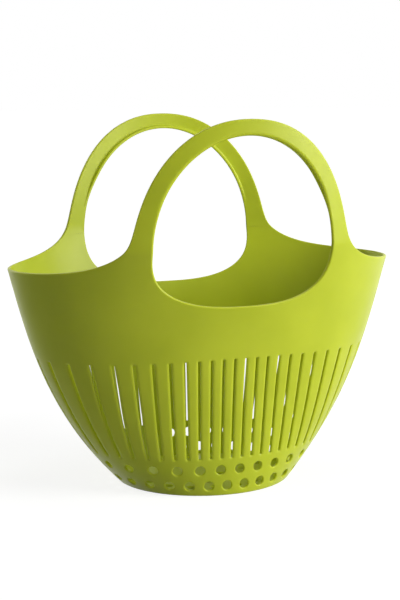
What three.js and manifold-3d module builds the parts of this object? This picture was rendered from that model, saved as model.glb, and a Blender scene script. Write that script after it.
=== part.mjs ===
// A moulded harvest basket: an oval tub that drains through holes and slots, and two arched handles.
// Millimetres, +Z up. The origin is the middle of the underside, +X runs along, -Y is the front.

import * as THREE from 'three';
import { mergeVertices } from 'three/addons/utils/BufferGeometryUtils.js';
import Module from 'manifold-3d';

const wasm = await Module();
wasm.setup();

// Tub, over the outside
const RIM_LENGTH = 360;
const RIM_HEIGHT = 197.5;
const BASE_LENGTH = 156;
const BASE_WIDTH = 143;
const WALL = 2.8;
const FLOOR_THICKNESS = 3;

// End walls: 0 is a straight slope from base to rim, 1 is the fullest bowl
const END_FULLNESS = 0.5;

// Front and back walls: run per rise at the foot and at the crease where the handle legs turn upright
const CREASE_ABOVE_RIM = 20.5;
const CREASE_WIDTH = 205;
const FOOT_SLOPE = 0.13;
const CREASE_SLOPE = 0.33;

// Drain holes low in the wall: the low row lies evenly about the front, the high row is turned, in degrees
const LOW_ROW_HOLES = 28;
const HIGH_ROW_HOLES = 26;
const HIGH_ROW_TURN = 2.5;
const HOLE_DIAMETER = 8.6;
const LOW_ROW_ABOVE_FLOOR = 2;
const ROW_SPACING = 14.4;

// Upright slots above the holes, each in a plane through the middle of the basket
const SLOT_COUNT = 50;
const SLOT_WIDTH = 2.2;
const SLOT_ABOVE_HOLES = 6.2;
const SLOT_BELOW_OPENING = 46;
const SLOT_HEAD_DROP_AT_ENDS = 3;

// Drain holes in the floor: rings set in from the edge of the floor
const FLOOR_RING_COUNTS = [16, 10, 4];
const FLOOR_RING_INSET = 16;
const FLOOR_RING_SPACING = 20;

// Handles: an arch over each long side, above the rim
const HANDLE_RISE = 130.5;
const HANDLE_SPAN = 203;
const HANDLE_TOP_WIDTH = 204;
const ARCH_POWER = 2.19;
const GRIP_WIDTH = 14;
const LEG_WIDTH = 18;

// Hand openings: half an ellipse above their widest line, fuller corners below it
const OPENING_DIP = 28.5;
const OPENING_WIDEST_ABOVE_RIM = 20;
const OPENING_CORNER_POWER = 2.7;

// Sweep of the legs into the rim: how high it starts, how far it runs and how tight its turn is
const FLARE_HEIGHT = 24.2;
const FLARE_LENGTH = 24;
const FLARE_TURN = 4.2;

// Lip rolled inwards along the grip, growing from nothing on each leg
const LIP_DEPTH = 3;
const LIP_ABOVE_FLEX = 14;
const LIP_GROWTH = 34;

// Bend line across the two legs of a handle
const FLEX_ABOVE_RIM = 31;
const KNUCKLE_COVER = 3.5;
const SEAM = 0.3;

// Fineness of the solids: the wall has rows round the floor, then below, along and above its slots
const FLOOR_ROWS = 1;
const FOOT_ROWS = 2;
const SLOT_ROWS = 3;
const COLLAR_ROWS = 2;
const RING_STEPS = 60;
const ARCH_STEPS = 15;
const OPENING_STEPS = 44;
const LIP_STEPS = 20;
const HOLE_SIDES = 8;
const KNUCKLE_SIDES = 32;

// Cutters run past what they cut by this much
const OVERRUN = 6;

// Levels and half sizes that follow from the sizes above
const HANDLE_TOP = RIM_HEIGHT + HANDLE_RISE;
const CREASE_HEIGHT = RIM_HEIGHT + CREASE_ABOVE_RIM;
const LOW_ROW = FLOOR_THICKNESS + LOW_ROW_ABOVE_FLOOR + HOLE_DIAMETER / 2;
const HIGH_ROW = LOW_ROW + ROW_SPACING;
const SLOT_FOOT = HIGH_ROW + HOLE_DIAMETER / 2 + SLOT_ABOVE_HOLES;
const SLOT_HEAD = RIM_HEIGHT - OPENING_DIP - SLOT_BELOW_OPENING;
const OPENING_HALF_WIDTH = HANDLE_SPAN / 2 - LEG_WIDTH;
const OPENING_WIDEST = RIM_HEIGHT + OPENING_WIDEST_ABOVE_RIM;
const OPENING_TOP = HANDLE_TOP - GRIP_WIDTH;
const OPENING_BOTTOM = RIM_HEIGHT - OPENING_DIP;
const FLEX_HEIGHT = RIM_HEIGHT + FLEX_ABOVE_RIM;
const WIDEST = Math.max(RIM_LENGTH, CREASE_WIDTH) + 2 * OVERRUN;

// Half length of the outside at a height, and its slope
function halfLength(z) {
  const t = Math.min(z / RIM_HEIGHT, 1);
  const bowl = 1 - (1 - t) ** 3;
  const share = (1 - END_FULLNESS) * t + END_FULLNESS * bowl;
  return (BASE_LENGTH + (RIM_LENGTH - BASE_LENGTH) * share) / 2;
}

function halfLengthSlope(z) {
  const t = Math.min(z / RIM_HEIGHT, 1);
  const rate = (1 - END_FULLNESS) + 3 * END_FULLNESS * (1 - t) ** 2;
  return (RIM_LENGTH - BASE_LENGTH) / 2 * rate / RIM_HEIGHT;
}

// Half width of the outside at a height: a cubic up to the crease, then a straight line to the handle top
function halfWidth(z) {
  if (z > CREASE_HEIGHT) {
    const rise = (z - CREASE_HEIGHT) / (HANDLE_TOP - CREASE_HEIGHT);
    return (CREASE_WIDTH + (HANDLE_TOP_WIDTH - CREASE_WIDTH) * rise) / 2;
  }
  const t = z / CREASE_HEIGHT;
  const risen = 3 * t ** 2 - 2 * t ** 3;
  const ends = (BASE_WIDTH + (CREASE_WIDTH - BASE_WIDTH) * risen) / 2;
  const slopes = (t ** 3 - 2 * t ** 2 + t) * FOOT_SLOPE + (t ** 3 - t ** 2) * CREASE_SLOPE;
  return ends + slopes * CREASE_HEIGHT;
}

function halfWidthSlope(z) {
  if (z > CREASE_HEIGHT) return (HANDLE_TOP_WIDTH - CREASE_WIDTH) / 2 / (HANDLE_TOP - CREASE_HEIGHT);
  const t = z / CREASE_HEIGHT;
  const ends = (6 * t - 6 * t ** 2) * (CREASE_WIDTH - BASE_WIDTH) / 2 / CREASE_HEIGHT;
  return ends + (3 * t ** 2 - 4 * t + 1) * FOOT_SLOPE + (3 * t ** 2 - 2 * t) * CREASE_SLOPE;
}

// Wall measured level, so that it is WALL thick square to its slope
function innerHalfLength(z) {
  return halfLength(z) - WALL * Math.hypot(1, halfLengthSlope(z));
}

function innerHalfWidth(z) {
  return halfWidth(z) - WALL * Math.hypot(1, halfWidthSlope(z));
}

// Distance of the outside from the long middle plane, at a place along the basket
function depthAt(x, z) {
  return halfWidth(z) * Math.sqrt(1 - (x / halfLength(z)) ** 2);
}

// Point of a level oval at a turn from the front, counter-clockwise from above
function ovalPoint(a, b, turn, z) {
  const reach = 1 / Math.hypot(Math.sin(turn) / a, Math.cos(turn) / b);
  return new THREE.Vector3(reach * Math.sin(turn), -reach * Math.cos(turn), z);
}

// Outward direction of the wall at a point of its outside
function wallNormal(point) {
  const a = halfLength(point.z);
  const b = halfWidth(point.z);
  const tiltX = point.x ** 2 * halfLengthSlope(point.z) / a ** 3;
  const tiltY = point.y ** 2 * halfWidthSlope(point.z) / b ** 3;
  return new THREE.Vector3(point.x / a ** 2, point.y / b ** 2, -tiltX - tiltY).normalize();
}

// Closed geometry as a solid that can be joined and cut
function solidOf(geometry) {
  const bare = geometry.index ? geometry.toNonIndexed() : geometry.clone();
  bare.deleteAttribute('normal');
  bare.deleteAttribute('uv');
  const merged = mergeVertices(bare);
  const vertProperties = new Float32Array(merged.attributes.position.array);
  const triVerts = new Uint32Array(merged.index.array);
  return new wasm.Manifold(new wasm.Mesh({ numProp: 3, vertProperties, triVerts }));
}

// Solid bounded by four-sided faces, each a list of corners counter-clockwise from outside
function solidOfFaces(faces) {
  const corners = faces.flatMap(([a, b, c, d]) => [a, b, c, a, c, d]);
  const places = corners.flatMap((corner) => corner.toArray());
  const geometry = new THREE.BufferGeometry();
  geometry.setAttribute('position', new THREE.Float32BufferAttribute(places, 3));
  return solidOf(geometry);
}

// Solid skinned over rings of points, with a flat end on the first and the last
function loft(rings) {
  const faces = [];
  const count = rings[0].length;
  for (let i = 0; i < rings.length - 1; i++) {
    for (let j = 0; j < count; j++) {
      const next = (j + 1) % count;
      faces.push([rings[i][j], rings[i][next], rings[i + 1][next], rings[i + 1][j]]);
    }
  }
  const first = rings[0];
  const last = rings.at(-1);
  for (let j = 1; j < count - 2; j += 2) {
    faces.push([first[0], first[j + 2], first[j + 1], first[j]]);
    faces.push([last[0], last[j], last[j + 1], last[j + 2]]);
  }
  return solidOfFaces(faces);
}

function ovalRing(a, b, z) {
  const ring = [];
  for (let j = 0; j < RING_STEPS; j++) {
    ring.push(ovalPoint(a, b, 2 * Math.PI * j / RING_STEPS, z));
  }
  return ring;
}

// Outline seen from the front, run through both long walls
function crossCut(outline) {
  const shape = new THREE.Shape(outline.map(([x, z]) => new THREE.Vector2(x, z)));
  const geometry = new THREE.ExtrudeGeometry(shape, { depth: WIDEST, bevelEnabled: false });
  geometry.rotateX(Math.PI / 2);
  geometry.translate(0, WIDEST / 2, 0);
  return solidOf(geometry);
}

// Bar across the two legs of a handle, round about its bend line
function bendBar(side, radius) {
  const geometry = new THREE.CylinderGeometry(radius, radius, WIDEST, KNUCKLE_SIDES);
  geometry.rotateZ(Math.PI / 2);
  geometry.translate(0, side * FLEX_DEPTH, FLEX_HEIGHT);
  return solidOf(geometry);
}

// Everything above the bend line on one side of the basket
function upperHalf(side) {
  const height = HANDLE_RISE + OVERRUN;
  const geometry = new THREE.BoxGeometry(WIDEST, WIDEST / 2, height);
  geometry.translate(0, side * WIDEST / 4, FLEX_HEIGHT + height / 2);
  return solidOf(geometry);
}

// Heights of the rows of the wall at a turn from the front
function rowHeights(turn) {
  const head = SLOT_HEAD - SLOT_HEAD_DROP_AT_ENDS * Math.sin(turn) ** 2;
  const bands = [
    [FLOOR_THICKNESS, FLOOR_ROWS],
    [SLOT_FOOT, FOOT_ROWS],
    [head, SLOT_ROWS],
    [RIM_HEIGHT, COLLAR_ROWS],
  ];
  const heights = [0];
  for (const [top, rows] of bands) {
    const bottom = heights.at(-1);
    for (let i = 1; i <= rows; i++) {
      heights.push(THREE.MathUtils.lerp(bottom, top, i / rows));
    }
  }
  heights.push(CREASE_HEIGHT, HANDLE_TOP + OVERRUN);
  return heights;
}

// Outside and inside points up one edge of a slot, from the base to past the handle tops
function slotEdge(slot, edge) {
  const middle = 2 * Math.PI * (slot + 0.5) / SLOT_COUNT;
  return rowHeights(middle).map((z) => {
    const outline = [halfLength(z), halfWidth(z)];
    const reach = Math.hypot(...ovalPoint(...outline, middle, 0).toArray());
    const turn = middle + edge * Math.asin(SLOT_WIDTH / 2 / reach);
    const inside = ovalPoint(innerHalfLength(z), innerHalfWidth(z), turn, z);
    return { out: ovalPoint(...outline, turn, z), in: inside };
  });
}

// Tub wall and both handles before any cut: an oval skin, open along its slots, past the handle tops
function skin() {
  const columns = [];
  for (let slot = 0; slot < SLOT_COUNT; slot++) {
    columns.push(slotEdge(slot, -1), slotEdge(slot, 1));
  }
  const rows = columns[0].length - 1;
  const slotStart = FLOOR_ROWS + FOOT_ROWS;
  const isSlot = (i, j) => j % 2 === 0 && i >= slotStart && i < slotStart + SLOT_ROWS;
  const isEmpty = (i, j) => i < 0 || i >= rows || isSlot(i, j);
  const faces = [];
  for (let i = 0; i < rows; i++) {
    for (let j = 0; j < columns.length; j++) {
      if (isEmpty(i, j)) continue;
      const left = columns[j];
      const right = columns[(j + 1) % columns.length];
      const [p, q, r, s] = [left[i], right[i], right[i + 1], left[i + 1]];
      faces.push([p.out, q.out, r.out, s.out]);
      faces.push([s.in, r.in, q.in, p.in]);
      if (isEmpty(i - 1, j)) faces.push([p.in, q.in, q.out, p.out]);
      if (isEmpty(i + 1, j)) faces.push([s.out, r.out, r.in, s.in]);
      if (isEmpty(i, j - 1)) faces.push([p.in, p.out, s.out, s.in]);
      if (isEmpty(i, j + 1)) faces.push([q.out, q.in, r.in, r.out]);
    }
  }
  return solidOfFaces(faces);
}

// Upper edge of one half of the basket, from the handle top down the leg and along the rim
function upperEdge() {
  const edge = [];
  for (let i = 0; i <= ARCH_STEPS; i++) {
    const angle = Math.PI / 2 * (1 - (1 - i / ARCH_STEPS) ** 2);
    const above = HANDLE_RISE * Math.max(Math.cos(angle), 0) ** (2 / ARCH_POWER);
    const arch = Math.sin(angle) ** (2 / ARCH_POWER);
    const steepness = (FLARE_HEIGHT / Math.max(above, SEAM)) ** FLARE_TURN;
    const sweep = FLARE_LENGTH / FLARE_TURN * Math.log1p(steepness);
    edge.push([arch * (HANDLE_SPAN / 2 + sweep), RIM_HEIGHT + above]);
  }
  return edge;
}

// Cutter for all that lies above the handles and the rim
function aboveEdge() {
  const right = upperEdge().filter(([x]) => x < RIM_LENGTH / 2);
  right.push([WIDEST / 2, right.at(-1)[1]]);
  const left = right.slice(1).reverse().map(([x, z]) => [-x, z]);
  const ceiling = HANDLE_TOP + 2 * OVERRUN;
  return crossCut([[-WIDEST / 2, ceiling], ...left, ...right, [WIDEST / 2, ceiling]]);
}

// Place on the edge of the hand opening: the angle runs counter-clockwise from the +X side
function openingPoint(angle) {
  const across = Math.cos(angle);
  const up = Math.sin(angle);
  if (up >= 0) {
    return [OPENING_HALF_WIDTH * across, OPENING_WIDEST + (OPENING_TOP - OPENING_WIDEST) * up];
  }
  const power = 2 / OPENING_CORNER_POWER;
  const x = OPENING_HALF_WIDTH * Math.sign(across) * Math.abs(across) ** power;
  return [x, OPENING_WIDEST - (OPENING_WIDEST - OPENING_BOTTOM) * Math.abs(up) ** power];
}

function handOpening() {
  const outline = [];
  for (let i = 0; i < OPENING_STEPS; i++) {
    outline.push(openingPoint(2 * Math.PI * (i + 0.5) / OPENING_STEPS));
  }
  return crossCut(outline);
}

// Lip along the grip of one handle: a strip set square to the wall, on its inside
function lip(side) {
  const rise = OPENING_TOP - OPENING_WIDEST;
  const foot = FLEX_HEIGHT + LIP_ABOVE_FLEX;
  const start = Math.asin((foot - OPENING_WIDEST) / rise);
  const sections = [];
  for (let i = 0; i <= LIP_STEPS; i++) {
    const angle = start + (Math.PI - 2 * start) * i / LIP_STEPS;
    const [x, z] = openingPoint(angle);
    const away = new THREE.Vector2(Math.cos(angle) / OPENING_HALF_WIDTH, Math.sin(angle) / rise);
    away.normalize();
    const grown = THREE.MathUtils.smoothstep(z, foot, foot + LIP_GROWTH);
    const seat = depthAt(x, z) - WALL / 2;
    const end = seat - WALL / 2 - SEAM - LIP_DEPTH * grown;
    const corners = [[-WALL, seat], [WALL, seat], [WALL, end], [-WALL, end]];
    const place = ([off, y]) => new THREE.Vector3(x + off * away.x, side * y, z + off * away.y);
    const section = corners.map(place);
    sections.push(side > 0 ? section.reverse() : section);
  }
  return loft(sections);
}

// Cutters for the round drain holes, square to the wall and upright in the floor
function drill(point, direction) {
  const radius = HOLE_DIAMETER / 2;
  const geometry = new THREE.CylinderGeometry(radius, radius, 2 * OVERRUN, HOLE_SIDES);
  const turned = new THREE.Quaternion().setFromUnitVectors(THREE.Object3D.DEFAULT_UP, direction);
  geometry.applyQuaternion(turned);
  geometry.translate(point.x, point.y, point.z);
  return solidOf(geometry);
}

function wallDrains() {
  const rows = [
    [LOW_ROW, LOW_ROW_HOLES, Math.PI / LOW_ROW_HOLES],
    [HIGH_ROW, HIGH_ROW_HOLES, THREE.MathUtils.degToRad(HIGH_ROW_TURN)],
  ];
  const drills = [];
  for (const [z, count, start] of rows) {
    for (let i = 0; i < count; i++) {
      const turn = start + 2 * Math.PI * i / count;
      const point = ovalPoint(halfLength(z), halfWidth(z), turn, z);
      drills.push(drill(point, wallNormal(point)));
    }
  }
  return drills;
}

function floorDrains() {
  const up = new THREE.Vector3(0, 0, 1);
  const drills = [];
  for (const [ring, count] of FLOOR_RING_COUNTS.entries()) {
    const inset = FLOOR_RING_INSET + ring * FLOOR_RING_SPACING;
    for (let i = 0; i < count; i++) {
      const turn = 2 * Math.PI * (i + 0.5) / count;
      drills.push(drill(ovalPoint(innerHalfLength(0) - inset, innerHalfWidth(0) - inset, turn, 0), up));
    }
  }
  return drills;
}

// Depth of the bend line, midway through the legs, and the bar that covers them there
const LEG_OUTSIDE = depthAt(OPENING_HALF_WIDTH, FLEX_HEIGHT);
const LEG_INSIDE = depthAt(HANDLE_SPAN / 2, FLEX_HEIGHT) - WALL;
const FLEX_DEPTH = (LEG_OUTSIDE + LEG_INSIDE) / 2;
const KNUCKLE_RADIUS = (LEG_OUTSIDE - LEG_INSIDE) / 2 + KNUCKLE_COVER;

const wholeSkin = skin();
const overEdge = aboveEdge();
const throughHands = handOpening();

function tubWall() {
  let wall = wholeSkin.subtract(overEdge).subtract(throughHands);
  for (const side of [-1, 1]) {
    wall = wall.subtract(upperHalf(side).subtract(bendBar(side, KNUCKLE_RADIUS)));
  }
  return wallDrains().reduce((solid, cutter) => solid.subtract(cutter), wall);
}

function tubFloor() {
  const ring = (z) => ovalRing(innerHalfLength(z) - SEAM, innerHalfWidth(z) - SEAM, z);
  const plate = loft([ring(0), ring(FLOOR_THICKNESS)]);
  return floorDrains().reduce((solid, cutter) => solid.subtract(cutter), plate);
}

function handle(side) {
  const band = wholeSkin.intersect(upperHalf(side)).add(lip(side));
  return band.subtract(overEdge).subtract(throughHands).subtract(bendBar(side, KNUCKLE_RADIUS + SEAM));
}

// Named mesh with its own lime plastic
function piece(name, solid) {
  const { vertProperties, triVerts } = solid.getMesh();
  const geometry = new THREE.BufferGeometry();
  geometry.setAttribute('position', new THREE.BufferAttribute(vertProperties, 3));
  geometry.setIndex(new THREE.BufferAttribute(triVerts, 1));
  geometry.computeVertexNormals();
  const material = new THREE.MeshStandardMaterial({ color: 0xb4c832, roughness: 0.38, metalness: 0 });
  const mesh = new THREE.Mesh(geometry, material);
  mesh.name = name;
  return mesh;
}

const basket = new THREE.Group();
basket.add(piece('floor', tubFloor()));
basket.add(piece('tub_wall', tubWall()));
basket.add(piece('front_handle', handle(-1)));
basket.add(piece('rear_handle', handle(1)));

export default basket;
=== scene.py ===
"""Looks of the moulded harvest basket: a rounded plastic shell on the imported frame, a studio and a camera."""

import math

import bmesh
import bpy
import numpy as np
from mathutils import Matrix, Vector
from mathutils.geometry import delaunay_2d_cdt


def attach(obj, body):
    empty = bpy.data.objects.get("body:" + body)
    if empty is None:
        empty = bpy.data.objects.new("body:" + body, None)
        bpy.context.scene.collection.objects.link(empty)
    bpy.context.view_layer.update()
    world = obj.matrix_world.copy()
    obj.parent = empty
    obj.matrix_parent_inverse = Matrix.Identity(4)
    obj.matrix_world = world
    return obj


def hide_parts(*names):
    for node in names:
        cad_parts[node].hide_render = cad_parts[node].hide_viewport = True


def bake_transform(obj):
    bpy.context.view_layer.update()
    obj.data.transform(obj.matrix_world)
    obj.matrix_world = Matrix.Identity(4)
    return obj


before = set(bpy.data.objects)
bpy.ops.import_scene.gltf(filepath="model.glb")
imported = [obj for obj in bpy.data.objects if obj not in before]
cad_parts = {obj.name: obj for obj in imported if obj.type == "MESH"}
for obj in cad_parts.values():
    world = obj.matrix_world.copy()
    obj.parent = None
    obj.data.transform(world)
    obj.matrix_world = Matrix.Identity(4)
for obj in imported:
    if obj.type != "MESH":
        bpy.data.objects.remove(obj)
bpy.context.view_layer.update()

MM = 0.001
QUARTER = math.pi / 2
UP = np.array([0, 0, 1.0])
WHITE = (1, 1, 1, 1)

# Tub, over the outside, in millimetres, with the names of the part's source
RIM_LENGTH = 360
RIM_HEIGHT = 197.5
BASE_LENGTH = 156
BASE_WIDTH = 143
WALL = 2.8
FLOOR_THICKNESS = 3
END_FULLNESS = 0.5
CREASE_ABOVE_RIM = 20.5
CREASE_WIDTH = 205
FOOT_SLOPE = 0.13
CREASE_SLOPE = 0.33

# Handles and hand openings
HANDLE_RISE = 130.5
HANDLE_SPAN = 203
HANDLE_TOP_WIDTH = 204
ARCH_POWER = 2.19
GRIP_WIDTH = 14
LEG_WIDTH = 18
OPENING_DIP = 28.5
OPENING_WIDEST_ABOVE_RIM = 20
OPENING_CORNER_POWER = 2.7
FLARE_HEIGHT = 24.2
FLARE_LENGTH = 24
FLARE_TURN = 4.2
FLARE_LEAST_RISE = 0.3
FLEX_ABOVE_RIM = 31
LIP_ABOVE_FLEX = 14
LIP_GROWTH = 34
LIP_DEPTH = 3

# Drain holes and slots
LOW_ROW_HOLES = 28
HIGH_ROW_HOLES = 26
HIGH_ROW_TURN = math.radians(2.5)
HOLE_RADIUS = 4.3
LOW_ROW = 9.3
HIGH_ROW = 23.7
SLOT_COUNT = 50
SLOT_WIDTH = 2.2
SLOT_ABOVE_HOLES = 6.2
SLOT_BELOW_OPENING = 46
SLOT_HEAD_DROP_AT_ENDS = 3
FLOOR_RING_COUNTS = (16, 10, 4)
FLOOR_RING_INSETS = (16, 36, 56)

# Levels and half sizes that follow from these sizes
CREASE_HEIGHT = RIM_HEIGHT + CREASE_ABOVE_RIM
HANDLE_TOP = RIM_HEIGHT + HANDLE_RISE
OPENING_HALF_WIDTH = HANDLE_SPAN / 2 - LEG_WIDTH
OPENING_WIDEST = RIM_HEIGHT + OPENING_WIDEST_ABOVE_RIM
OPENING_TOP = HANDLE_TOP - GRIP_WIDTH
OPENING_BOTTOM = RIM_HEIGHT - OPENING_DIP
LIP_FOOT = RIM_HEIGHT + FLEX_ABOVE_RIM + LIP_ABOVE_FLEX
SLOT_FOOT = HIGH_ROW + HOLE_RADIUS + SLOT_ABOVE_HOLES
SLOT_HEAD = OPENING_BOTTOM - SLOT_BELOW_OPENING

# Roundings of the moulding, in millimetres
RIM_ROUND = 0.9
HOLE_ROUND = 1.1
SLOT_CORNER = 0.9
SLOT_BACK_ROUND = 0.4
RIB_FALL_LENGTH = 2.6
RIB_FALL_DEPTH = 0.8
MOUTH_ROUND = 1.1
LEG_ROUND = 1.8
GRIP_ROUND = 3.2
LIP_FILLET = 1.0
LIP_DRAFT = 0.3
LIP_FOR_FULL_ROUND = 2
CREASE_ROUND = 3
INNER_CREASE_ROUND = 9
RIM_EASE = 8
FOOT_ROUND = 2

# Distance from the middle of the plane where the handle legs bend, in metres, given with each handle
BEND_PLANE = 0.086

# Fineness of the mesh: steps and clearances in millimetres, and counts
STEP = 3.2
GRID_COLUMNS = 50
GRID_ROW_STEP = 4.6
GRID_CLEARANCE = 1.5
HOLE_STEPS = 24
SLOT_SIDE_STEPS = 18
CORNER_STEPS = 4
BELT = 30.3
FOOT_STEPS = 44
FOOT_ARC_STEPS = 6
ARC_STEPS = 5
HANDLE_STEPS = 64
BAND_STEPS = 6
FOOT_GRID_STEP = 3.6
FLOOR_GRID = 6
FLOOR_BORDER = 9
FLOOR_EDGE_CLEARANCE = 2
FLOOR_HOLE_CLEARANCE = 2.5
FLAT_RADIUS = 110
HANDLE_TRACE = 6000
OPENING_TRACE = 4001
FOOT_TRACE = 2001

# Distances within which points are the same point or lie on a line, and a guard against dividing by nothing
WELD = 0.001
TOUCH = 1e-6
NOTHING = 1e-9

# Plastic: colours, with a painted highlight on the edges, gloss, grain and scattering, with lengths in metres
BODY_COLOURS = ((0.50, 0.575, 0.023, 1), (0.55, 0.625, 0.030, 1))
# Painted highlight: rounded edges get a paler colour, and the floor holes' edges get half of it, standing in
# for light scattering through thin plastic
EDGE_HIGHLIGHT_COLOUR = (0.56, 0.635, 0.030, 1)
FLOOR_HOLE_EDGE_HIGHLIGHT = 0.5
CLOUD_SPAN = (0.35, 0.65)
SHEEN_SPAN = (0.3, 0.7)
ROUGHNESS = (0.29, 0.37)
REFRACTIVE_INDEX = 1.49
SPECULAR_LEVEL = 0.22
GRAIN_STRENGTH = 0.04
GRAIN_HEIGHT = 0.0004
SCATTER_WEIGHT = 0.45
SCATTER_RADIUS = (1.0, 0.9, 0.4)
SCATTER_DEPTH = 0.007

# Height off the crease, in millimetres, over which the scattering fades in from nothing where the pieces meet
SEAM_FADE = 20

# Scale and detail of the noise in the plastic
CLOUD_NOISE = (16, 3)
SHEEN_NOISE = (55, 4)
GRAIN_NOISE = (1400, 2)

# Floor sheet and world, in metres: greys under the lamps, and the white that the camera sees
SHEET_HALF_SIZE = 14
SHEET_DROP = 0.0002
SHEET_GREY = (0.6, 0.6, 0.6, 1)
SHADE_GREY = (0.3, 0.3, 0.3, 1)
SHEET_ROUGHNESS = 0.9
WHITE_DISTANCES = (0.3, 1.0)
WHITE_LEVELS = (0.85, 1.0)
WORLD_LEVELS = (0.07, 1.0)

# Lamps: azimuth and elevation in degrees, distance and size in metres, and power in watts
LAMPS = {
    "key": (49, 18, 1.6, (0.9, 1.1), 26.5),
    "left": (-140, 20, 1.6, (0.7, 1.2), 6),
    "above": (0, 88, 1.5, (0.6, 0.6), 4),
}
LAMP_TARGET = (0, 0, 0.16)

# Camera, fitted to the photograph: degrees, metres, and the sensor and lens in millimetres
CAMERA_AZIMUTH = -22.936
CAMERA_ELEVATION = 8.44
CAMERA_DISTANCE = 1.36588
CAMERA_TARGET_HEIGHT = 0.162602
CAMERA_TARGET_LEFT = 0.003098
CAMERA_SENSOR = 36
CAMERA_LENS = 90.608
CAMERA_REACH = 100


def half_length(z):
    """Half length of the outside, turning upright just above the rim."""
    t = np.clip(z / RIM_HEIGHT, 0, 1)
    share = (1 - END_FULLNESS) * t + END_FULLNESS * (1 - (1 - t) ** 3)
    over = np.clip(z - RIM_HEIGHT, 0, RIM_EASE)
    rim_slope = (RIM_LENGTH - BASE_LENGTH) / 2 * (1 - END_FULLNESS) / RIM_HEIGHT
    eased = rim_slope * (over - over ** 2 / (2 * RIM_EASE))
    return (BASE_LENGTH + (RIM_LENGTH - BASE_LENGTH) * share) / 2 + eased


def long_wall(z):
    """Half width up to the crease."""
    t = z / CREASE_HEIGHT
    risen = 3 * t ** 2 - 2 * t ** 3
    slopes = (t ** 3 - 2 * t ** 2 + t) * FOOT_SLOPE + (t ** 3 - t ** 2) * CREASE_SLOPE
    return (BASE_WIDTH + (CREASE_WIDTH - BASE_WIDTH) * risen) / 2 + slopes * CREASE_HEIGHT


def leg_wall(z):
    """Half width above the crease."""
    share = (z - CREASE_HEIGHT) / (HANDLE_TOP - CREASE_HEIGHT)
    return (CREASE_WIDTH + (HANDLE_TOP_WIDTH - CREASE_WIDTH) * share) / 2


def half_width(z, ease=CREASE_ROUND):
    """Half width of the outside, with the crease eased over a distance below and above it."""
    z = np.asarray(z, float)
    low, high = CREASE_HEIGHT - ease, CREASE_HEIGHT + ease
    small = 0.01
    t = np.clip((z - low) / (high - low), 0, 1)
    risen = 3 * t ** 2 - 2 * t ** 3
    slope_in = (long_wall(low) - long_wall(low - small)) / small
    slope_out = leg_wall(high + 1) - leg_wall(high)
    bend = long_wall(low) * (1 - risen) + leg_wall(high) * risen
    bend = bend + ((t ** 3 - 2 * t ** 2 + t) * slope_in + (t ** 3 - t ** 2) * slope_out) * (high - low)
    return np.where(z < low, long_wall(z), np.where(z > high, leg_wall(z), bend))


def slope_of(size, z, *ease):
    """Run per rise of a half size."""
    step = 0.02
    return (size(z + step, *ease) - size(z - step, *ease)) / (2 * step)


def skin(turn, z, ease=CREASE_ROUND):
    """Points of the outside at a turn from the front and a height."""
    turn, z = np.broadcast_arrays(np.asarray(turn, float), np.asarray(z, float))
    reach = 1 / np.hypot(np.sin(turn) / half_length(z), np.cos(turn) / half_width(z, ease))
    return np.stack([reach * np.sin(turn), -reach * np.cos(turn), z], -1)


def skin_normal(turn, z, ease=CREASE_ROUND):
    """Direction out of the outside."""
    point = skin(turn, z, ease)
    x, y, z = point[..., 0], point[..., 1], point[..., 2]
    a, b = half_length(z), half_width(z, ease)
    tilt = x ** 2 * slope_of(half_length, z) / a ** 3 + y ** 2 * slope_of(half_width, z, ease) / b ** 3
    return unit(np.stack([x / a ** 2, y / b ** 2, -tilt], -1))


def lining(turn, z):
    """Points of the inside, one wall thickness behind the outside and with a softer crease."""
    return skin(turn, z, INNER_CREASE_ROUND) - WALL * lining_normal(turn, z)


def lining_normal(turn, z):
    """Direction from the inside through the wall to the outside."""
    return skin_normal(turn, z, INNER_CREASE_ROUND)


def unit(vectors):
    """Vectors of length one."""
    return vectors / np.linalg.norm(vectors, axis=-1, keepdims=True)


def turn_at(x, z):
    """Turn of the front point of the outside at a place along the basket."""
    return np.arctan2(x, half_width(z) * np.sqrt(np.clip(1 - (x / half_length(z)) ** 2, 0, 1)))


def moved_in(turn, z, direction, distance):
    """Turn and height after a step over the outside against a direction."""
    small = 1e-4
    along = (skin(turn + small, z) - skin(turn - small, z)) / (2 * small)
    up = (skin(turn, z + small) - skin(turn, z - small)) / (2 * small)
    step = -direction * np.asarray(distance, float).reshape(-1, 1)
    aa, uu, au = (along * along).sum(-1), (up * up).sum(-1), (along * up).sum(-1)
    sa, su = (step * along).sum(-1), (step * up).sum(-1)
    det = aa * uu - au ** 2
    return turn + (sa * uu - su * au) / det, z + (su * aa - sa * au) / det


class Edge:
    """An edge of the moulding: its line on the outside, and its direction out of the plastic."""

    def __init__(self, turn, z, closed=False, ends=None):
        self.turn, self.z = np.asarray(turn, float), np.asarray(z, float)
        self.place = skin(self.turn, self.z)
        self.normal = skin_normal(self.turn, self.z)
        if closed:
            run = np.roll(self.place, -1, 0) - np.roll(self.place, 1, 0)
        else:
            run = np.gradient(self.place, axis=0)
            run[0], run[-1] = ends
        self.out = unit(np.cross(run, self.normal))

    def part(self, keep):
        """The same edge with only some of its points."""
        other = Edge.__new__(Edge)
        for name in ("turn", "z", "place", "normal", "out"):
            setattr(other, name, getattr(self, name)[keep])
        return other

    def flip(self):
        """Turn the direction out of the plastic to the other side of the line."""
        self.out = -self.out
        return self


def quarter_arc(steps):
    """Sines and cosines over a quarter turn."""
    angle = np.linspace(0, QUARTER, steps + 1)
    return np.sin(angle), np.cos(angle)


def round_profile(length, depth, back, thickness=WALL):
    """Section of an edge that falls away outside and is rounded inside.

    Each row has the distance out, the distance off the outside, and the normal in the same two directions.
    """
    s, c = quarter_arc(ARC_STEPS)
    size = np.hypot(s * depth, c * length)
    front = np.stack([length * (s - 1), depth * (c - 1), s * depth / size, c * length / size], -1)
    rear = np.stack([back * (c - 1), back * (1 - s) - thickness, c, -s], -1)
    if length == back:
        return np.concatenate([front, rear])
    return np.concatenate([front, rear, [[-length, -thickness, 0, -1]]])


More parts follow.
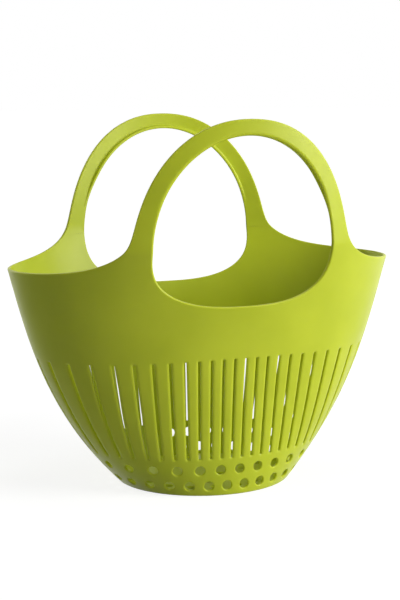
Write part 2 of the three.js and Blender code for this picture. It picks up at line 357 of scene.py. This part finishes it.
def lip_profile(lip):
    """Section of the hand opening's edge where a lip is rolled inwards."""
    radius = LEG_ROUND + (GRIP_ROUND - LEG_ROUND) * min(lip / LIP_FOR_FULL_ROUND, 1)
    low, tip = -WALL - lip, WALL - LIP_DRAFT
    back, root = min(RIM_ROUND, lip / 2), min(LIP_FILLET, lip / 2)
    s, c = quarter_arc(ARC_STEPS)
    front = [radius * (s - 1), radius * (c - 1), s, c]
    edge = [RIM_ROUND * (c - 1), low + RIM_ROUND * (1 - s), c, -s]
    size = np.maximum(np.hypot(s * back, c * RIM_ROUND), NOTHING)
    heel = [RIM_ROUND * (1 - s) - tip, low + back * (1 - c), -s * back / size, -c * RIM_ROUND / size]
    size = np.maximum(np.hypot(c * root, s * LIP_FILLET), NOTHING)
    fillet = [-WALL - LIP_FILLET * (1 - c), -WALL - root * (1 - s), -c * root / size, -s * LIP_FILLET / size]
    rows = np.concatenate([np.stack(arc, -1) for arc in (front, edge, heel, fillet)])
    length, weak = np.hypot(rows[:, 2], rows[:, 3]), 0.5
    rows[length < weak, 2:] = 0, -1
    return rows


class Shell:
    """Places, normals and faces of one quarter of a moulding."""

    def __init__(self):
        self.places, self.normals, self.rims, self.faces = [], [], [], []
        self.count = 0

    def add(self, places, normals, rim=0.0):
        """Numbers of new points. The rim value is how much of an edge a point is, and so how much painted edge
        highlight it gets.
        """
        places = np.asarray(places, float).reshape(-1, 3)
        self.places.append(places)
        self.normals.append(np.asarray(normals, float).reshape(-1, 3))
        self.rims.append(np.broadcast_to(np.asarray(rim, float), len(places)))
        first = self.count
        self.count += len(places)
        return np.arange(first, self.count)

    def net(self, places, normals, rim=0.0, closed=False):
        """Four-sided faces over rows of points."""
        places = np.asarray(places, float)
        rows, columns = places.shape[:2]
        rim = np.broadcast_to(rim, (rows, columns)).ravel()
        index = self.add(places, normals, rim).reshape(rows, columns)
        if closed:
            index = np.concatenate([index, index[:1]], 0)
        a, b = index[:-1, :-1].ravel(), index[1:, :-1].ravel()
        c, d = index[1:, 1:].ravel(), index[:-1, 1:].ravel()
        self.faces += np.stack([a, b, c, d], 1).tolist()

    def triangles(self, places, normals, faces):
        """Three-sided faces over a list of points."""
        first = self.add(places, normals)[0]
        self.faces += (np.asarray(faces) + first).tolist()

    def edge(self, edge, profiles, closed=False):
        """Strip round an edge, whose outer and inner lines lie on the outside and the inside."""
        profiles = np.broadcast_to(profiles, (len(edge.place), *np.shape(profiles)[-2:]))
        out, off = profiles[..., 0:1], profiles[..., 1:2]
        places = edge.place[:, None] + out * edge.out[:, None] + off * edge.normal[:, None]
        normals = profiles[..., 2:3] * edge.out[:, None] + profiles[..., 3:4] * edge.normal[:, None]
        for column, surface, sign in ((0, skin, 1), (-1, lining, -1)):
            inset = -profiles[:, column, 0]
            turn, z = moved_in(edge.turn, edge.z, edge.out, inset)
            fix = surface(turn, z) - places[:, column]
            share = np.clip(-profiles[..., 0] / inset[:, None], 0, 1)
            share = share * (profiles[..., 3] * sign > 0)
            share[:, column] = 1
            places = places + share[..., None] * fix[:, None]
            places[:, column] = surface(turn, z)
            normals[:, column] = skin_normal(turn, z) if sign > 0 else -lining_normal(turn, z)
        rim = 1 - profiles[..., 3] ** 2
        rim[:, 0] = rim[:, -1] = 0
        self.net(places, normals, rim, closed)


def weld(places):
    """Which places are distinct, and for each place the distinct one that it lies on.

    A second round on a shifted grid joins the places that the borders of the first grid kept apart.
    """
    first = index = np.arange(len(places))
    for shift in (0, 0.4 * WELD):
        cells = np.round((places[first] + shift) / WELD)
        _, kept, where = np.unique(cells, axis=0, return_index=True, return_inverse=True)
        first, index = first[kept], where.ravel()[index]
    return first, index


def welded_faces(faces, index, places, normals):
    """Faces over the distinct places, turned outwards, without the ones that collapse or repeat."""
    welded, seen = [], set()
    for face in faces:
        ring = [int(index[i]) for i in face]
        ring = [v for i, v in enumerate(ring) if v != ring[i - 1]]
        key = frozenset(ring)
        if len(key) < 3 or len(key) < len(ring) or key in seen:
            continue
        seen.add(key)
        p = places[ring]
        facing = np.cross(p[1] - p[0], p[2] - p[0])
        if len(ring) == 4:
            facing = np.cross(p[2] - p[0], p[3] - p[1])
        if facing @ normals[ring].sum(0) < 0:
            ring.reverse()
        welded.append(ring)
    return welded


def moulding(name, parts):
    """Mesh of shells and their mirror images, welded, with the normals of the true surfaces."""
    places, normals, rims, faces = [], [], [], []
    count = 0
    for shell, mirrors in parts:
        for sx, sy in mirrors:
            sign = np.array([sx, sy, 1.0])
            places.append(np.concatenate(shell.places) * sign)
            normals.append(np.concatenate(shell.normals) * sign)
            rims.append(np.concatenate(shell.rims))
            faces += [[i + count for i in face] for face in shell.faces]
            count += shell.count
    places, normals, rims = np.concatenate(places), np.concatenate(normals), np.concatenate(rims)
    first, index = weld(places)
    summed = np.zeros((len(first), 3))
    np.add.at(summed, index, normals)
    places, normals = places[first], unit(summed)
    edge = np.ones(len(first))
    np.minimum.at(edge, index, rims)
    mesh = bpy.data.meshes.new(name)
    mesh.from_pydata((places * MM).tolist(), [], welded_faces(faces, index, places, normals))
    glow = np.clip(np.abs(places[:, 2] - CREASE_HEIGHT) / SEAM_FADE, 0, 1)
    # The rim values set how much painted edge highlight each point gets in the material
    for label, values in (("rim", edge), ("glow", glow)):
        attribute = mesh.attributes.new(label, "FLOAT", "POINT")
        attribute.data.foreach_set("value", values.astype(np.float32))
    mesh.validate()
    close_ends(mesh)
    mesh.shade_smooth()
    mesh.normals_split_custom_set_from_vertices(normals.tolist())
    piece = bpy.data.objects.new(name, mesh)
    bpy.context.scene.collection.objects.link(piece)
    return piece


def close_ends(mesh):
    """Faces across the cut ends of a moulding."""
    work = bmesh.new()
    work.from_mesh(mesh)
    ends = [edge for edge in work.edges if edge.is_boundary]
    made = bmesh.ops.holes_fill(work, edges=ends, sides=0)
    bmesh.ops.triangulate(work, faces=made["faces"])
    work.to_mesh(mesh)
    work.free()


def inside(points, ring):
    """Which points lie inside a closed ring."""
    hit = np.zeros(len(points), bool)
    x, y = points[:, 0], points[:, 1]
    for (x0, y0), (x1, y1) in zip(ring, np.roll(ring, -1, 0)):
        if y0 != y1:
            hit ^= ((y0 > y) != (y1 > y)) & (x < (x1 - x0) * (y - y0) / (y1 - y0) + x0)
    return hit


def triangulate(chains, extra, voids):
    """Triangles over flat points, keeping to the chains and leaving the voids open: (points, triangles)."""
    points, lines = [], []
    for chain in chains:
        first = len(points)
        points += chain.tolist()
        lines += [(i, i + 1) for i in range(first, len(points) - 1)]
    points = np.array(points + extra.tolist())
    made = delaunay_2d_cdt([Vector(p) for p in points], lines, [], 0, TOUCH)
    places, faces = np.array([tuple(v) for v in made[0]]), np.array(made[2])
    centres = places[faces].mean(1)
    keep = np.ones(len(faces), bool)
    for ring in voids:
        keep &= ~inside(centres, ring)
    return places, faces[keep]


def flat(turn, z):
    """Places on a flat drawing of the wall."""
    return np.stack([np.asarray(turn) * FLAT_RADIUS, np.asarray(z)], -1)


def run_along(turn, z):
    """Distance along a line over the outside at each of its points."""
    steps = np.linalg.norm(np.diff(skin(turn, z), axis=0), axis=1)
    return np.concatenate([[0], np.cumsum(steps)])


def handle_line():
    """Upper edge from the middle of the handle down its leg and along the rim to the end."""
    angle = QUARTER * (1 - (1 - np.linspace(0, 1, HANDLE_TRACE)) ** 2)
    above = HANDLE_RISE * np.clip(np.cos(angle), 0, 1) ** (2 / ARCH_POWER)
    arch = np.sin(angle) ** (2 / ARCH_POWER)
    steepness = (FLARE_HEIGHT / np.maximum(above, FLARE_LEAST_RISE)) ** FLARE_TURN
    x = arch * (HANDLE_SPAN / 2 + FLARE_LENGTH / FLARE_TURN * np.log1p(steepness))
    z = RIM_HEIGHT + above
    end = int(np.argmax(x > half_length(z)))
    x, z = x[:end], z[:end]
    return np.append(x, half_length(z[-1])), np.append(z, z[-1])


def opening_line():
    """Edge of the hand opening from the middle of the grip down the leg to the middle of its lower side."""
    angle = np.linspace(QUARTER, -QUARTER, OPENING_TRACE)
    across, up = np.clip(np.cos(angle), 0, 1), np.sin(angle)
    power = 2 / OPENING_CORNER_POWER
    high = OPENING_WIDEST + (OPENING_TOP - OPENING_WIDEST) * up
    low = OPENING_WIDEST - (OPENING_WIDEST - OPENING_BOTTOM) * np.abs(up) ** power
    x = OPENING_HALF_WIDTH * np.where(up >= 0, across, across ** power)
    x[0] = x[-1] = 0
    return x, np.where(up >= 0, high, low)


def long_edge(line, last):
    """Edge along a line, in even steps down to a point on the crease and in even steps below it."""
    x, z = line
    turn = turn_at(x, z)
    run = run_along(turn, z)
    crease = float(np.interp(-CREASE_HEIGHT, -z, run))
    above = np.linspace(0, crease, HANDLE_STEPS, endpoint=False)
    below = np.linspace(crease, run[-1], round((run[-1] - crease) / STEP), endpoint=False)
    where = np.concatenate([above, below, run[-1:]])
    turn, z = np.interp(where, run, turn), np.interp(where, run, z)
    z[HANDLE_STEPS] = CREASE_HEIGHT
    return Edge(turn, z, ends=((1, 0, 0), last))


def round_hole(turn, z):
    """Edge of a drain hole square to the wall."""
    centre, normal = skin(turn, z), skin_normal(turn, z)
    side = unit(np.cross(UP, normal))
    up = np.cross(normal, side)
    angle = QUARTER + 2 * math.pi * np.arange(HOLE_STEPS) / HOLE_STEPS
    points = centre + HOLE_RADIUS * (np.cos(angle)[:, None] * side + np.sin(angle)[:, None] * up)
    return Edge(np.arctan2(points[:, 0], -points[:, 1]), points[:, 2], closed=True).flip()


def slot(middle):
    """Edge of an upright slot with rounded corners."""
    head = SLOT_HEAD - SLOT_HEAD_DROP_AT_ENDS * math.sin(middle) ** 2
    half = SLOT_WIDTH / 2
    angles = [QUARTER * i / CORNER_STEPS for i in range(CORNER_STEPS + 1)]
    corner = [(half - SLOT_CORNER * (1 - math.cos(angle)), head - SLOT_CORNER * (1 - math.sin(angle)))
              for angle in angles]
    foot = [(off, SLOT_FOOT + head - z) for off, z in reversed(corner)]
    side = np.linspace(foot[-1][1], corner[0][1], SLOT_SIDE_STEPS)[1:-1]
    right = [(0, SLOT_FOOT), *foot, *((half, z) for z in side), *corner]
    left = [(0, head), *((-off, z) for off, z in reversed(right[1:]))]
    off, z = np.array(right + left).T
    reach = np.linalg.norm(skin(middle, z)[:, :2], axis=1)
    return Edge(middle + np.arcsin(off / reach), z, closed=True).flip()


def kept_order(keep):
    """Numbers of the kept points of a ring, from the first of their run to the last."""
    start = int(np.argmax(keep & ~np.roll(keep, 1)))
    order = (start + np.arange(len(keep))) % len(keep)
    return order[keep[order]]


def kept_part(edge):
    """The run of points of a closed edge that lies in the first quarter, and whether it is all of it."""
    near = 1e-5
    edge.turn = np.where(np.abs(edge.turn) < near, 0, edge.turn)
    edge.turn = np.where(np.abs(edge.turn - QUARTER) < near, QUARTER, edge.turn)
    keep = (edge.turn >= 0) & (edge.turn <= QUARTER)
    return edge.part(kept_order(keep)), keep.all()


def slots():
    """Slots of the first quarter of the wall."""
    found = [slot(2 * math.pi * (i + 0.5) / SLOT_COUNT) for i in range(SLOT_COUNT // 4 + 1)]
    return [kept_part(edge) for edge in found]


def front_holes():
    """Drain holes of the front half of the wall."""
    found = []
    rows = ((LOW_ROW, LOW_ROW_HOLES, math.pi / LOW_ROW_HOLES), (HIGH_ROW, HIGH_ROW_HOLES, HIGH_ROW_TURN))
    for z, count, start in rows:
        for i in range(-count // 2, count // 2):
            turn = start + 2 * math.pi * i / count
            if abs(turn) < QUARTER:
                found.append(round_hole(turn, z))
    return found


def foot_turns():
    """Turns at even steps along the foot of the wall."""
    turn = np.linspace(0, QUARTER, FOOT_TRACE)
    run = run_along(turn, np.full_like(turn, FOOT_ROUND))
    return np.interp(np.linspace(0, run[-1], FOOT_STEPS + 1), run, turn)


def bend(start, corner, end, inward, sign):
    """Rows of points and normals of a rounding in the corner of wall and floor."""
    t = np.linspace(0, 1, FOOT_ARC_STEPS + 1)[None, :, None]
    points = (1 - t) ** 2 * start[:, None] + 2 * t * (1 - t) * corner[:, None] + t ** 2 * end[:, None]
    along = unit((1 - t) * (corner - start)[:, None] + t * (end - corner)[:, None])
    across = -(along * inward[:, None]).sum(-1, keepdims=True)
    normal = along[..., 2:3] * inward[:, None] + across * UP
    return points, sign * normal


def free_points(turn, z, crowd, clearance, voids):
    """Flat places of the points that keep clear of the crowded ones and of the voids."""
    crowd = np.concatenate(crowd)
    near = np.array([np.min(np.linalg.norm(crowd - place, axis=1)) for place in skin(turn, z)])
    free = near > clearance
    for ring in voids:
        free &= ~inside(flat(turn, z), ring)
    return flat(turn, z)[free]


def add_wall(shell, chains, extra, voids):
    """Both faces of the wall over flat places."""
    places, faces = triangulate(chains, extra, voids)
    turn, z = places[:, 0] / FLAT_RADIUS, places[:, 1]
    near = 1e-7
    for exact in (-QUARTER, 0, QUARTER):
        turn = np.where(np.abs(turn - exact) < near, exact, turn)
    shell.triangles(skin(turn, z), skin_normal(turn, z), faces)
    shell.triangles(lining(turn, z), -lining_normal(turn, z), faces)


def build_foot(turns):
    """Wall between the floor and the slots, with its two rows of holes, of the front half."""
    shell = Shell()
    turns = np.concatenate([-turns[:0:-1], turns])
    chains, voids, crowd = [], [], []
    for level in (FOOT_ROUND, BELT):
        chains.append(flat(turns, np.full_like(turns, level)))
        crowd.append(skin(turns, level))
    for edge in front_holes():
        turn, z = moved_in(edge.turn, edge.z, edge.out, HOLE_ROUND)
        ring = flat(turn, z)
        voids.append(ring)
        chains.append(np.concatenate([ring, ring[:1]]))
        crowd.append(skin(turn, z))
        shell.edge(edge, round_profile(HOLE_ROUND, HOLE_ROUND, HOLE_ROUND), closed=True)
    rows = np.linspace(FOOT_ROUND, BELT, round((BELT - FOOT_ROUND) / FOOT_GRID_STEP) + 1)[1:-1]
    u, z = np.meshgrid(turns, rows)
    add_wall(shell, chains, free_points(u.ravel(), z.ravel(), crowd, GRID_CLEARANCE, voids), voids)
    return shell


def add_slots(shell, chains, voids, crowd):
    """Rounded edges of the slots in one quarter."""
    for edge, whole in slots():
        turn, z = moved_in(edge.turn, edge.z, edge.out, RIB_FALL_LENGTH)
        if not whole:
            turn[[0, -1]] = edge.turn[[0, -1]]
        ring = flat(turn, z)
        voids.append(ring)
        chains.append(np.concatenate([ring, ring[:1]]) if whole else ring)
        crowd.append(skin(turn, z))
        shell.edge(edge, round_profile(RIB_FALL_LENGTH, RIB_FALL_DEPTH, SLOT_BACK_ROUND), closed=whole)


def add_upper_edges(shell, chains, voids, crowd):
    """Edges of the hand opening and the rim below the crease. Gives the turns of the cut across the leg."""
    mouth = OPENING.part(slice(HANDLE_STEPS, None))
    rim = TOP_EDGE.part(slice(HANDLE_STEPS, None))
    growth = np.clip((mouth.z - OPENING_BOTTOM) / (CREASE_HEIGHT - OPENING_BOTTOM), 0, 1)
    mouth_round = MOUTH_ROUND + (LEG_ROUND - MOUTH_ROUND) * growth
    shell.edge(mouth, np.array([round_profile(radius, radius, RIM_ROUND) for radius in mouth_round]))
    shell.edge(rim, round_profile(RIM_ROUND, RIM_ROUND, RIM_ROUND))
    mouth_turn, mouth_z = moved_in(mouth.turn, mouth.z, mouth.out, mouth_round)
    rim_turn, rim_z = moved_in(rim.turn, rim.z, rim.out, RIM_ROUND)
    mouth_turn[-1], rim_turn[-1] = 0, QUARTER
    leg_turn = np.linspace(mouth_turn[0], rim_turn[0], BAND_STEPS + 1)
    leg_z = np.linspace(mouth_z[0], rim_z[0], BAND_STEPS + 1)
    leg = flat(leg_turn, leg_z)[1:-1]
    top = np.concatenate([flat(mouth_turn, mouth_z)[::-1], leg, flat(rim_turn, rim_z)])
    left, right, high = -1, QUARTER * FLAT_RADIUS + 1, 2 * HANDLE_TOP
    ceiling = [[right, top[-1, 1]], [right, high], [left, high], [left, top[0, 1]]]
    voids.append(np.concatenate([top, ceiling]))
    chains.append(top)
    crowd += [skin(mouth_turn, mouth_z), skin(leg_turn, leg_z), skin(rim_turn, rim_z)]
    return leg_turn


def build_tub(turns):
    """Wall between the belt and the crease, and the floor, of one quarter."""
    shell = Shell()
    chains, voids, crowd = [], [], []
    add_slots(shell, chains, voids, crowd)
    bend_turn = add_upper_edges(shell, chains, voids, crowd)[1:-1]
    belt = np.full_like(turns, BELT)
    chains.append(flat(turns, belt))
    crowd.append(skin(turns, belt))
    columns = np.linspace(0, QUARTER, GRID_COLUMNS + 1)
    rows = np.linspace(BELT, CREASE_HEIGHT, round((CREASE_HEIGHT - BELT) / GRID_ROW_STEP))[1:]
    u, z = np.meshgrid(columns, rows)
    u = np.concatenate([u.ravel(), bend_turn])
    z = np.concatenate([z.ravel(), np.full(len(bend_turn), CREASE_HEIGHT - CREASE_ROUND)])
    clearance = np.where(z > CREASE_HEIGHT - 2 * CREASE_ROUND, CREASE_ROUND / 2, GRID_CLEARANCE)
    add_wall(shell, chains, free_points(u, z, crowd, clearance, voids), voids)
    build_floor(shell, turns)
    return shell


def add_foot_roundings(shell, turns, base, inward):
    """Roundings of the wall into the floor. Gives their edges on the floor's lower and upper faces."""
    foot = np.full_like(turns, FOOT_ROUND)
    start = skin(turns, foot)
    under = base + inward * np.linalg.norm(start - base, axis=1, keepdims=True)
    points, normals = bend(start, base, under, inward, 1)
    normals[:, 0] = skin_normal(turns, foot)
    shell.net(points, normals)
    start = lining(turns, foot)
    fall = unit(start - lining(turns, foot + 1))
    corner = start + fall * ((FLOOR_THICKNESS - start[:, 2]) / fall[:, 2])[:, None]
    over = corner + inward * np.linalg.norm(start - corner, axis=1, keepdims=True)
    points, normals = bend(start, corner, over, inward, -1)
    normals[:, 0] = -lining_normal(turns, foot)
    shell.net(points, normals)
    return under, over


def floor_hole_middles():
    """Middles of the floor's drain holes in one quarter, in rings that follow the wall."""
    inner_length, inner_width = lining(QUARTER, 0.0)[0], -lining(0.0, 0.0)[1]
    found = []
    for count, inset in zip(FLOOR_RING_COUNTS, FLOOR_RING_INSETS):
        for i in range(count // 4 + 1):
            turn = 2 * math.pi * (i + 0.5) / count
            if turn < QUARTER + TOUCH:
                across, along = math.sin(turn), math.cos(turn)
                reach = 1 / math.hypot(across / (inner_length - inset), along / (inner_width - inset))
                found.append(reach * np.array([across, along]))
    return found


def add_floor_hole(shell, middle):
    """One drain hole of the floor. Gives its line within the quarter, and whether it is all of it."""
    angle = QUARTER + 2 * math.pi * np.arange(HOLE_STEPS) / HOLE_STEPS
    out = -np.stack([np.cos(angle), np.sin(angle)], -1)
    keep = (middle - HOLE_RADIUS * out)[:, 1] > -TOUCH
    out = out[kept_order(keep)]
    line = middle - (HOLE_RADIUS + HOLE_ROUND) * out
    line[np.abs(line) < TOUCH] = 0
    out = np.column_stack([out * (1, -1), np.zeros(len(out))])
    centre = np.array([middle[0], -middle[1], FLOOR_THICKNESS])
    profile = round_profile(HOLE_ROUND, HOLE_ROUND, HOLE_ROUND, FLOOR_THICKNESS)
    places = (centre - HOLE_RADIUS * out)[:, None] + profile[None, :, 0:1] * out[:, None]
    places = places + profile[None, :, 1:2] * UP
    places[np.abs(places) < TOUCH] = 0
    normals = profile[None, :, 2:3] * out[:, None] + profile[None, :, 3:4] * UP
    # The floor holes' edges get half of the painted edge highlight
    shell.net(places, normals, FLOOR_HOLE_EDGE_HIGHLIGHT, closed=keep.all())
    return line, keep.all()


def build_floor(shell, turns):
    """Roundings into the floor and the floor itself, with its drain holes, in one quarter."""
    base = skin(turns, np.zeros_like(turns))
    inward = -unit(base * np.array([1 / (BASE_LENGTH / 2) ** 2, 1 / (BASE_WIDTH / 2) ** 2, 0]))
    under, over = add_foot_roundings(shell, turns, base, inward)
    shrink = 1 - FLOOR_BORDER / np.linalg.norm(base[:, :2], axis=1, keepdims=True)
    ring = base[:, :2] * shrink
    for edge, level, sign in ((under, 0, -1), (over, FLOOR_THICKNESS, 1)):
        border = np.column_stack([ring, np.full(len(ring), level)])
        shell.net(np.stack([edge, border], 1), np.broadcast_to(sign * UP, (len(ring), 2, 3)))
    chains, voids = [ring * (1, -1)], []
    for middle in floor_hole_middles():
        line, whole = add_floor_hole(shell, middle)
        voids.append(line)
        chains.append(np.concatenate([line, line[:1]]) if whole else line)
    x, y = np.meshgrid(np.arange(0, BASE_LENGTH / 2, FLOOR_GRID), np.arange(0, BASE_WIDTH / 2, FLOOR_GRID))
    grid = np.stack([x.ravel(), y.ravel()], -1)
    reach = np.array([ring[-1, 0], -ring[0, 1]]) - FLOOR_EDGE_CLEARANCE
    free = np.hypot(*(grid / reach).T) < 1
    for line in voids:
        free &= np.linalg.norm(grid - line.mean(0), axis=1) > HOLE_RADIUS + FLOOR_HOLE_CLEARANCE
    places, faces = triangulate(chains, grid[free], voids)
    for level, sign in ((0, -1), (FLOOR_THICKNESS, 1)):
        points = np.column_stack([places * (1, -1), np.full(len(places), level)])
        shell.triangles(points, np.broadcast_to(sign * UP, points.shape), faces)


def build_handle():
    """Band of one half of a handle above the crease, with the lip along its grip."""
    shell = Shell()
    grip = OPENING.part(slice(None, HANDLE_STEPS + 1))
    outer = TOP_EDGE.part(slice(None, HANDLE_STEPS + 1))
    t = np.clip((grip.z - LIP_FOOT) / LIP_GROWTH, 0, 1)
    profiles = np.array([lip_profile(lip) for lip in LIP_DEPTH * t ** 2 * (3 - 2 * t)])
    shell.edge(grip, profiles)
    shell.edge(outer, round_profile(RIM_ROUND, RIM_ROUND, RIM_ROUND))
    share = np.linspace(0, 1, BAND_STEPS + 1)
    for column, surface, normal, sign in ((0, skin, skin_normal, 1), (-1, lining, lining_normal, -1)):
        low_turn, low_z = moved_in(grip.turn, grip.z, grip.out, -profiles[:, column, 0])
        high_turn, high_z = moved_in(outer.turn, outer.z, outer.out, RIM_ROUND)
        low_turn[0] = high_turn[0] = 0
        turn = low_turn[:, None] * (1 - share) + high_turn[:, None] * share
        z = low_z[:, None] * (1 - share) + high_z[:, None] * share
        shell.net(surface(turn, z), sign * normal(turn, z))
    return shell


OPENING = long_edge(opening_line(), (-1, 0, 0))
TOP_EDGE = long_edge(handle_line(), (0, 1, 0)).flip()
ALL_QUARTERS = [(1, 1), (1, -1), (-1, 1), (-1, -1)]
BOTH_HALVES = [(1, 1), (-1, -1)]

foot_steps = foot_turns()
tub = moulding("tub", [(build_tub(foot_steps), ALL_QUARTERS), (build_foot(foot_steps), BOTH_HALVES)])
handle = build_handle()
front_handle = moulding("front_handle_moulding", [(handle, [(1, 1), (-1, 1)])])
rear_handle = moulding("rear_handle_moulding", [(handle, [(1, -1), (-1, -1)])])


def new_material(name):
    """A material with its nodes and links."""
    material = bpy.data.materials.new(name)
    material.use_nodes = True
    return material, material.node_tree.nodes, material.node_tree.links


def map_range(nodes, links, source, given, wanted):
    """Node that carries a value from one range to another."""
    node = nodes.new("ShaderNodeMapRange")
    node.inputs["From Min"].default_value, node.inputs["From Max"].default_value = given
    node.inputs["To Min"].default_value, node.inputs["To Max"].default_value = wanted
    links.new(source, node.inputs["Value"])
    return node


def lime_plastic():
    """Satin polypropylene: faint flow clouding, varying gloss, a fine grain and a painted highlight that makes
    the edges paler, standing in for light scattering through the thin plastic.
    """
    material, nodes, links = new_material("lime_plastic")
    shader = nodes["Principled BSDF"]
    shader.inputs["IOR"].default_value = REFRACTIVE_INDEX
    shader.inputs["Specular IOR Level"].default_value = SPECULAR_LEVEL
    shader.inputs["Subsurface Radius"].default_value = SCATTER_RADIUS
    shader.inputs["Subsurface Scale"].default_value = SCATTER_DEPTH
    where = nodes.new("ShaderNodeTexCoord")

    def noise(scale, detail):
        node = nodes.new("ShaderNodeTexNoise")
        node.inputs["Scale"].default_value = scale
        node.inputs["Detail"].default_value = detail
        links.new(where.outputs["Object"], node.inputs["Vector"])
        return node.outputs["Fac"]

    def stored(label):
        node = nodes.new("ShaderNodeAttribute")
        node.attribute_name = label
        return node.outputs["Fac"]

    clouds = nodes.new("ShaderNodeValToRGB")
    for stop, place, colour in zip(clouds.color_ramp.elements, CLOUD_SPAN, BODY_COLOURS):
        stop.position, stop.color = place, colour
    links.new(noise(*CLOUD_NOISE), clouds.inputs["Fac"])
    # Painted highlight: the rim attribute mixes the edges towards a paler colour
    painted_edge_light = nodes.new("ShaderNodeMix")
    painted_edge_light.data_type = "RGBA"
    painted_edge_light.inputs["B"].default_value = EDGE_HIGHLIGHT_COLOUR
    links.new(stored("rim"), painted_edge_light.inputs["Factor"])
    links.new(clouds.outputs["Color"], painted_edge_light.inputs["A"])
    links.new(painted_edge_light.outputs["Result"], shader.inputs["Base Color"])

    rough = map_range(nodes, links, noise(*SHEEN_NOISE), SHEEN_SPAN, ROUGHNESS)
    links.new(rough.outputs["Result"], shader.inputs["Roughness"])
    bump = nodes.new("ShaderNodeBump")
    bump.inputs["Strength"].default_value = GRAIN_STRENGTH
    bump.inputs["Distance"].default_value = GRAIN_HEIGHT
    links.new(noise(*GRAIN_NOISE), bump.inputs["Height"])
    links.new(bump.outputs["Normal"], shader.inputs["Normal"])

    within = map_range(nodes, links, stored("glow"), (0, 1), (0, SCATTER_WEIGHT))
    within.interpolation_type = "SMOOTHSTEP"
    links.new(within.outputs["Result"], shader.inputs["Subsurface Weight"])
    return material


plastic = lime_plastic()
for piece in (tub, front_handle, rear_handle):
    piece.data.materials.append(plastic)

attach(tub, "tub")
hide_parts("floor", "tub_wall")
for piece, body, y in ((front_handle, "front_handle", -BEND_PLANE), (rear_handle, "rear_handle", BEND_PLANE)):
    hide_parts(body)
    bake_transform(piece)


def white_for_camera(nodes, links):
    """1 for the rays that see the background, straight or in a reflection."""
    path = nodes.new("ShaderNodeLightPath")
    seen = path.outputs["Is Camera Ray"]
    for kind in ("Is Glossy Ray", "Is Transmission Ray"):
        either = nodes.new("ShaderNodeMath")
        either.operation = "ADD"
        either.use_clamp = True
        links.new(seen, either.inputs[0])
        links.new(path.outputs[kind], either.inputs[1])
        seen = either.outputs["Value"]
    return seen


def white_floor():
    """Matt grey where light bounces, and for the camera a white with a faint shadow, whiter further out."""
    material, nodes, links = new_material("white_floor")
    matte = nodes["Principled BSDF"]
    matte.inputs["Base Color"].default_value = SHEET_GREY
    matte.inputs["Roughness"].default_value = SHEET_ROUGHNESS
    matte.inputs["Specular IOR Level"].default_value = 0
    lit = nodes.new("ShaderNodeBsdfDiffuse")
    lit.inputs["Color"].default_value = SHADE_GREY
    where = nodes.new("ShaderNodeTexCoord")
    far = nodes.new("ShaderNodeVectorMath")
    far.operation = "LENGTH"
    links.new(where.outputs["Object"], far.inputs[0])
    fade = map_range(nodes, links, far.outputs["Value"], WHITE_DISTANCES, WHITE_LEVELS)
    glow = nodes.new("ShaderNodeEmission")
    links.new(fade.outputs["Result"], glow.inputs["Strength"])
    pale = nodes.new("ShaderNodeAddShader")
    links.new(lit.outputs["BSDF"], pale.inputs[0])
    links.new(glow.outputs["Emission"], pale.inputs[1])
    choose = nodes.new("ShaderNodeMixShader")
    links.new(white_for_camera(nodes, links), choose.inputs["Fac"])
    links.new(matte.outputs["BSDF"], choose.inputs[1])
    links.new(pale.outputs["Shader"], choose.inputs[2])
    links.new(choose.outputs["Shader"], nodes["Material Output"].inputs["Surface"])
    return material


def floor_sheet():
    """Large sheet under the basket."""
    ground = bpy.data.meshes.new("floor_sheet")
    size = SHEET_HALF_SIZE
    corners = [(-size, -size, 0), (size, -size, 0), (size, size, 0), (-size, size, 0)]
    ground.from_pydata(corners, [], [(0, 1, 2, 3)])
    ground.materials.append(white_floor())
    sheet = bpy.data.objects.new("floor_sheet", ground)
    bpy.context.scene.collection.objects.link(sheet)
    sheet.location.z = -SHEET_DROP


def white_world():
    """Background that is white to the camera and dim as a light."""
    world = bpy.data.worlds.new("studio")
    bpy.context.scene.world = world
    world.use_nodes = True
    nodes, links = world.node_tree.nodes, world.node_tree.links
    background = nodes["Background"]
    background.inputs["Color"].default_value = WHITE
    level = map_range(nodes, links, white_for_camera(nodes, links), (0, 1), WORLD_LEVELS)
    links.new(level.outputs["Result"], background.inputs["Strength"])


def towards(azimuth, elevation):
    """Direction from the basket, with the azimuth counted from its front."""
    a, e = math.radians(azimuth), math.radians(elevation)
    return Vector((math.sin(a) * math.cos(e), -math.cos(a) * math.cos(e), math.sin(e)))


def aim(obj, target, back, distance):
    """Put a lamp or a camera in the scene, at a distance from the target that it faces."""
    bpy.context.scene.collection.objects.link(obj)
    obj.location = target + back * distance
    obj.rotation_euler = back.to_track_quat("Z", "Y").to_euler()


def lamp(name, azimuth, elevation, distance, size, power):
    """Rectangular lamp that faces the basket."""
    data = bpy.data.lights.new(name, "AREA")
    data.shape = "RECTANGLE"
    data.size, data.size_y = size
    data.energy = power
    aim(bpy.data.objects.new(name, data), Vector(LAMP_TARGET), towards(azimuth, elevation), distance)


def camera():
    """Camera at the photograph's viewing angle."""
    azimuth = math.radians(CAMERA_AZIMUTH)
    right = Vector((math.cos(azimuth), math.sin(azimuth), 0))
    target = Vector((0, 0, CAMERA_TARGET_HEIGHT)) - right * CAMERA_TARGET_LEFT
    data = bpy.data.cameras.new("camera")
    data.sensor_width = CAMERA_SENSOR
    data.lens = CAMERA_LENS
    data.clip_end = CAMERA_REACH
    obj = bpy.data.objects.new("camera", data)
    aim(obj, target, towards(CAMERA_AZIMUTH, CAMERA_ELEVATION), CAMERA_DISTANCE)
    bpy.context.scene.camera = obj


floor_sheet()
white_world()
for name, place in LAMPS.items():
    lamp(name, *place)
camera()
bpy.context.scene.view_settings.view_transform = "Standard"
